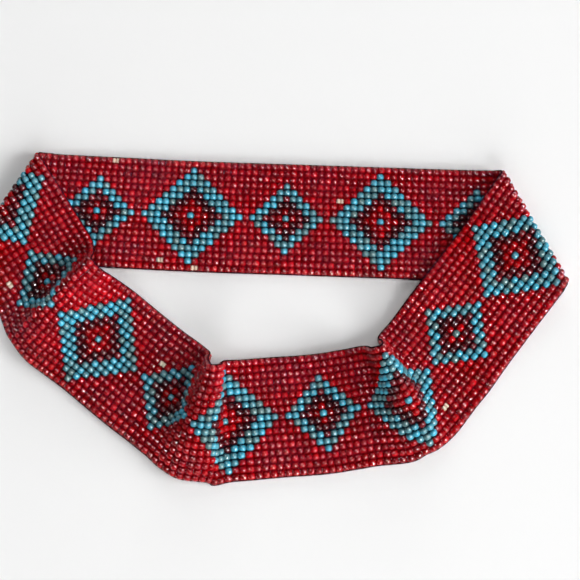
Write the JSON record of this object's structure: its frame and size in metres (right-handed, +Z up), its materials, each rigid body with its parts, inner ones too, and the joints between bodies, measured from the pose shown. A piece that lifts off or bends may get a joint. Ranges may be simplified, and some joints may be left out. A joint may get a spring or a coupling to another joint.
{
  "type": "beaded belt",
  "caption": "Loom-woven seed bead belt, a closed loop with stepped concentric diamonds, laid folded flat with a fold at each end and ridges at the front corners",
  "frame": {"origin": "on the table, under the middle of the laid loop's bounding box", "axes": "+X along the back half towards the right end fold, +Y from the front half to the back half, +Z up from the table"},
  "size_m": [0.3012, 0.169, 0.0265],
  "materials": {
    "red_beads": "glossy translucent crimson glass seed beads, lighter and darker from bead to bead",
    "turquoise_beads": "glossy opaque turquoise glass seed beads, from bright blue to grey green",
    "garnet_beads": "glossy very dark garnet glass seed beads",
    "warp_thread": "matt dark navy twisted thread",
    "weft_thread": "matt cream thread, seen only where a bead is missing"
  },
  "bodies": {
    "root": {"bead_band": "red_beads"}
  },
  "joints": []
}
